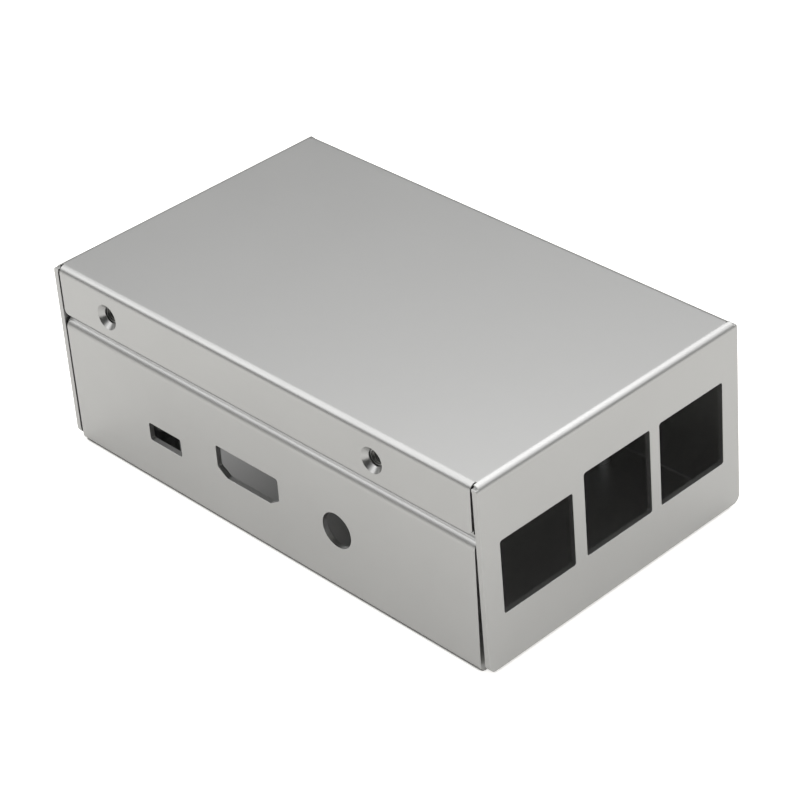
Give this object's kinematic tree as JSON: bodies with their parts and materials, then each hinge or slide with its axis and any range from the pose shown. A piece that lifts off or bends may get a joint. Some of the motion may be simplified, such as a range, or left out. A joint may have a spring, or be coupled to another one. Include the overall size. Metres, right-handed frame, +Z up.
{
  "type": "single-board computer case",
  "caption": "Folded aluminium case for a small single-board computer: stepped tray with pressed-in standoffs and side ports, under a drop-on cover with end ports and countersunk holes.",
  "frame": {"origin": "midway between the feet of the end walls, at the underside of the tray", "axes": "+X along the case towards the end with the network and data ports, -Y the long side with the power, video and audio ports, +Z up"},
  "size_m": [0.1026, 0.061, 0.0362],
  "materials": {
    "satin_aluminium": "satin, blasted and clear anodised",
    "plated_steel": "bright zinc plated"
  },
  "bodies": {
    "root": {"tray": "satin_aluminium", "cover": "satin_aluminium", "standoff_front_left": "plated_steel", "standoff_front_right": "plated_steel", "standoff_rear_left": "plated_steel", "standoff_rear_right": "plated_steel"}
  },
  "joints": []
}
